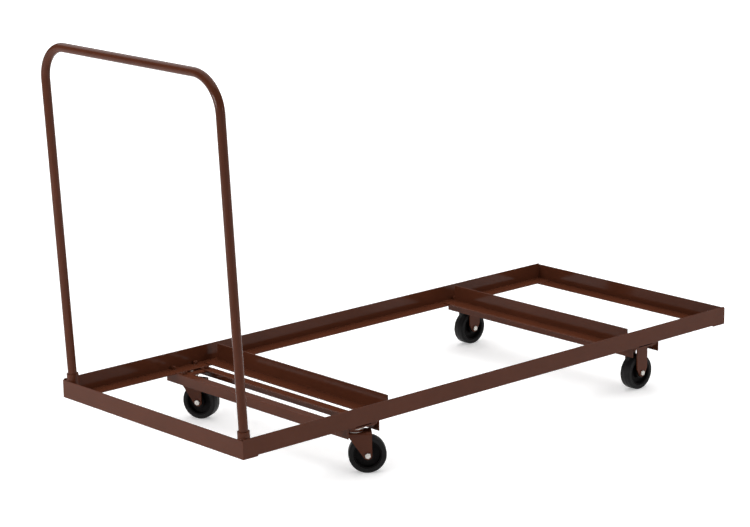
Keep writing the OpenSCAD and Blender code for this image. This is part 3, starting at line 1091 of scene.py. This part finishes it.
@dataclass
class SwivelRace:
    """The plated rings of a swivel caster: a shield round its race and a washer on its fork's crown."""

    side: Side
    shield_r: float = 0.025
    shield_wall: float = 0.0024
    shield_h: float = 0.0085
    washer_r: float = 0.0235
    washer_wall: float = 0.0013
    washer_h: float = 0.0012
    crown_rise: float = 0.011
    edge: float = 0.0005
    segments: int = 96

    @property
    def name(self) -> str:
        """The caster's name, as its solids have it."""
        return f"{self.side.value}_{CasterKind.SWIVEL.value}"

    @property
    def joint(self) -> dict:
        """The joint that the fork turns on."""
        return joint_named(self.name + "_turn")

    def ring(
        self, radius: float, wall: float, seat: float, end: float, name: str, zinc: Material,
    ) -> bpy.types.Object:
        """Makes a ring about the kingpin.

        Args:
            radius: Its outside radius.
            wall: Its wall.
            seat: Height of the end that it sits on.
            end: Height of its other end, whose outer edge is broken.
            name: Name of the piece.
            zinc: The plating.

        Returns:
            The piece in the row frame.
        """
        bore = radius - wall
        broken = end + math.copysign(self.edge, seat - end)
        profile = [(bore, seat), (radius, seat), (radius, broken), (radius - self.edge, end), (bore, end)]
        mesh = mesh_of_rings([circle(r, z, self.segments) for r, z in profile], name, closed=True)
        x, y, _ = self.joint["pos_m"]
        mesh.transform(Matrix.Translation((x, y, 0.0)))
        mesh.materials.append(zinc)
        return place_mesh(mesh, name)

    def build(self, zinc: Material) -> None:
        """Makes both rings.

        Args:
            zinc: The plating.
        """
        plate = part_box(self.name + "_race_ring")[1].z
        shield = self.ring(
            self.shield_r, self.shield_wall, plate, plate - self.shield_h, self.name + "_race_shield", zinc,
        )
        finish_piece(shield, self.joint["parent"], Slot.ZINC, self.name + "_race_ring")
        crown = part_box(self.name + "_fork")[1].z - self.crown_rise
        washer = self.ring(
            self.washer_r, self.washer_wall, crown, crown + self.washer_h, self.name + "_crown_washer", zinc,
        )
        finish_piece(washer, self.joint["child"], Slot.ZINC)


# Welds


@dataclass
class FrameWelds:
    """Rippled fillet welds that join the frame's angle irons, sockets and rigid forks."""

    bead_r: float = 0.0024
    ripple: float = 0.16
    pitch: float = 0.0026
    steps_per_ripple: int = 6
    sides: int = 10
    rail_t: float = 0.0032
    rail_leg: float = 0.0508
    socket_r: float = 0.0167
    socket_arc_deg: float = 128.0
    socket_steps: int = 16
    corner_deg: float = 45.0
    fork_bend: float = 0.006
    sharp_deg: float = 60.0

    def tree(self) -> ShapeTree:
        """Makes the tree that sweeps a rippled bead along each route.

        Returns:
            The tree.
        """
        shape = ShapeTree("weld_bead")
        for name in ("Bead Radius", "Ripple", "Pitch", "Step"):
            shape.input(name, "NodeSocketFloat")
        shape.input("Sides", "NodeSocketInt")
        fine = shape.add(
            "GeometryNodeResampleCurve", {"mode": "LENGTH"},
            Curve=shape.given("Geometry"), Length=shape.given("Step"),
        )
        spot = shape.add("GeometryNodeSplineParameter")
        ripples = shape.math("DIVIDE", spot.outputs["Length"], shape.given("Pitch"))
        hump = shape.math("ABSOLUTE", shape.math("SINE", shape.math("MULTIPLY", ripples, math.pi)))
        size = shape.math("ADD", shape.math("MULTIPLY", hump, shape.given("Ripple")), 1.0)
        grow = shape.add("GeometryNodeSetCurveRadius", Curve=fine.outputs["Curve"], Radius=size)
        sweep = shape.sweep(grow.outputs["Curve"], shape.given("Bead Radius"), shape.given("Sides"))
        swell = shape.add("GeometryNodeInputRadius")
        feed(shape.tree, sweep, Fill_Caps=True, Scale=swell.outputs["Radius"])
        return shape

    def socket_route(self, side: Side) -> list[Vector]:
        """Follows the weld round a handle socket, where it stands above the corner of the rails.

        Args:
            side: The socket's side of the trolley.

        Returns:
            The weld's route.
        """
        low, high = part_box(f"{side.value}_handle_socket")
        _, rail_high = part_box("near_side_rail")
        along = Vector(joint_named("handle_lift")["axis"]).normalized()
        lean = along.x / along.z
        z = rail_high.z - self.rail_t
        top_x = low.x + self.socket_r / along.z
        centre = Vector((top_x - (high.z - z) * lean, (low.y + high.y) / 2, z))
        middle = 180.0 + self.corner_deg * side.inward
        steps = self.socket_steps
        turns = [math.radians(middle + self.socket_arc_deg * (i / steps - 0.5)) for i in range(steps + 1)]
        return [centre + Vector((math.cos(t), math.sin(t), 0.0)) * self.socket_r for t in turns]

    def across(self, side: Side, y: float, z: float, x_from: float, x_to: float) -> list[Vector]:
        """Follows a straight weld along X.

        Args:
            side: The side rail that it is on.
            y: Its distance from that rail's outside face.
            z: Its height.
            x_from: Where it starts.
            x_to: Where it ends.

        Returns:
            The weld's route.
        """
        low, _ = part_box("near_side_rail")
        _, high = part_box("far_side_rail")
        place = low.y + y if side is Side.NEAR else high.y - y
        return [Vector((x_from, place, z)), Vector((x_to, place, z))]

    def routes(self) -> list[list[Vector]]:
        """Finds every weld.

        Returns:
            Their routes.
        """
        found = []
        for side in Side:
            found.append(self.socket_route(side))
            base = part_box(f"{side.value}_side_rail")[0].z
            low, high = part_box("handle_end_rail")
            found.append(self.across(side, self.rail_leg, base, low.x + self.rail_t, high.x))
            low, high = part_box("far_end_rail")
            found.append(self.across(side, self.rail_leg, base, low.x, high.x - self.rail_t))
            for name in ("swivel_end_rest", "rigid_end_rest"):
                low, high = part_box(name)
                inset = low.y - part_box("near_side_rail")[0].y
                found.append(self.across(side, inset, low.z, low.x, high.x))
            for row in ("swivel", "rigid"):
                for place in ("outer", "inner"):
                    low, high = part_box(f"{row}_carrier_{place}")
                    found.append(self.across(side, self.rail_leg, high.z, low.x, high.x))
            low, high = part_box(f"{side.value}_rigid_fork")
            ends = (low.y + self.fork_bend, high.y - self.fork_bend)
            found += [[Vector((x, y, high.z)) for y in ends] for x in (low.x, high.x)]
        return found

    def build(self, paint: Material) -> None:
        """Makes the welds.

        Args:
            paint: The powder coat that covers them.
        """
        beads = self.tree().run(
            route_object(self.routes(), "weld_routes"), "weld_beads", Finish=paint,
            Bead_Radius=self.bead_r, Ripple=self.ripple, Pitch=self.pitch,
            Step=self.pitch / self.steps_per_ripple, Sides=self.sides,
        )
        turn_outwards(beads.data)
        smooth(beads.data, self.sharp_deg)
        finish_piece(beads, "frame", Slot.PAINT)


# The solids that show as they are


def dress_solids(finishes: dict[Slot, Material]) -> None:
    """Gives every solid its slot's finish.

    Args:
        finishes: The material of every slot.
    """
    for subpart in frame["record"]["subparts"]:
        solid = frame["nodes"][subpart["node"]]
        finish = finishes[Slot(subpart["material_slot"])]
        if not solid.material_slots:
            solid.data.materials.append(finish)
        for slot in solid.material_slots:
            slot.material = finish


# Stage


@dataclass(frozen=True)
class PhotoCamera:
    """The camera that stands where the photograph was taken."""

    place: Spot = (-4.923, -5.290, 2.214)
    azimuth_deg: float = -42.25
    elevation_deg: float = 13.85
    roll_deg: float = 0.66
    lens_mm: float = 123.72
    sensor_mm: float = 36.0
    sight: float = 100.0

    def build(self) -> None:
        """Makes the camera."""
        azimuth, elevation = math.radians(self.azimuth_deg), math.radians(self.elevation_deg)
        flat = Vector((math.sin(azimuth), -math.cos(azimuth), 0.0))
        back = flat * math.cos(elevation) + UP * math.sin(elevation)
        level = UP.cross(back).normalized()
        right = Matrix.Rotation(math.radians(self.roll_deg), 3, -back) @ level
        turn = Matrix((right, back.cross(right), back)).transposed().to_4x4()
        data = bpy.data.cameras.new("photo_camera")
        data.sensor_width = self.sensor_mm
        data.lens = self.lens_mm
        camera = bpy.data.objects.new("photo_camera", data)
        camera.matrix_world = Matrix.Translation(self.place) @ turn
        data.clip_end = self.sight
        bpy.context.scene.collection.objects.link(camera)
        bpy.context.scene.camera = camera


@dataclass(frozen=True)
class SoftLight:
    """One square softbox that looks at a point."""

    name: str
    place: Spot
    target: Spot
    size: float
    watts: float

    def build(self) -> None:
        """Makes the light."""
        data = bpy.data.lights.new(self.name, "AREA")
        data.size = self.size
        data.energy = self.watts
        lamp = bpy.data.objects.new(self.name, data)
        lamp.location = self.place
        aim = Vector(self.target) - Vector(self.place)
        lamp.rotation_euler = aim.to_track_quat("-Z", "Y").to_euler()
        bpy.context.scene.collection.objects.link(lamp)


@dataclass(frozen=True)
class Studio:
    """A pale floor that fades to white, a grey surround and soft lights."""

    floor_colour: Colour = (0.86, 0.86, 0.86)
    floor_size: float = 60.0
    floor_roughness: float = 0.9
    floor_lift: float = 0.38
    far_lift: float = 0.80
    fade_from: float = 3.0
    fade_to: float = 9.0
    fill: float = 0.18
    lights: tuple[SoftLight, ...] = (
        SoftLight("overhead_softbox", (2.4, 2.6, 5.0), (2.4, 2.6, 0.0), 11.0, 690.0),
        SoftLight("front_softbox", (0.6, -4.2, 1.3), (0.2, 0.0, 0.1), 0.45, 29.0),
        SoftLight("end_softbox", (-3.6, 0.6, 0.8), (-0.9, 0.0, 0.0), 0.45, 38.0),
    )

    def build(self) -> None:
        """Makes the whole stage."""
        bpy.context.scene.view_settings.view_transform = "Standard"
        self.build_world()
        self.build_floor()
        for light in self.lights:
            light.build()

    def seen(self, sheet: MaterialSheet) -> Socket:
        """Tells where the stage is seen, mirrored or looked through.

        Args:
            sheet: The stage's material.

        Returns:
            A socket that is 1 there and 0 elsewhere.
        """
        path = add_node(sheet.tree, "ShaderNodeLightPath")
        total = path.outputs["Is Camera Ray"]
        for name in ("Is Glossy Ray", "Is Transmission Ray"):
            total = add_math(sheet.tree, "MAXIMUM", total, path.outputs[name])
        return total

    def build_world(self) -> None:
        """Makes the plain grey surround."""
        world = bpy.data.worlds.new("grey_surround")
        world.use_nodes = True
        tree = world.node_tree
        feed(tree, tree.nodes["Background"], Color=WHITE, Strength=self.fill)
        bpy.context.scene.world = world

    def build_floor(self) -> None:
        """Makes the floor."""
        half = self.floor_size / 2
        mesh = bpy.data.meshes.new("floor")
        corners = [(-half, -half, 0), (half, -half, 0), (half, half, 0), (-half, half, 0)]
        mesh.from_pydata(corners, [], [range(len(corners))])
        floor = place_mesh(mesh, "floor")
        sheet = MaterialSheet("pale_floor")
        sheet.set(Base_Color=(*self.floor_colour, 1.0), Roughness=self.floor_roughness, Emission_Color=WHITE)
        sheet.set(Emission_Strength=add_math(sheet.tree, "MULTIPLY", self.seen(sheet), self.fade(sheet)))
        mesh.materials.append(sheet.material)

    def fade(self, sheet: MaterialSheet) -> Socket:
        """Lifts the floor towards white, more with the distance from its middle.

        Args:
            sheet: The floor's material.

        Returns:
            The lift's socket.
        """
        away = add_node(sheet.tree, "ShaderNodeVectorMath", {"operation": "LENGTH"}, Vector=sheet.place)
        span = (self.fade_from, self.fade_to)
        return sheet.range(away.outputs["Value"], self.floor_lift, self.far_lift, span)


def main() -> None:
    """Builds the trolley's looks and its stage."""
    logging.basicConfig(level=logging.INFO, format="%(name)s: %(message)s")
    PhotoCamera().build()
    Studio().build()
    finishes = make_finishes()
    dress_solids(finishes)
    PushHandle().build(finishes[Slot.PAINT])
    seats = SeatTree()
    PlateFasteners().build(seats, finishes[Slot.PAINT])
    for side in Side:
        for kind in CasterKind:
            Caster(side, kind).build(seats, finishes)
        SwivelRace(side).build(finishes[Slot.ZINC])
    FrameWelds().build(finishes[Slot.PAINT])


if __name__ == "__main__":
    main()
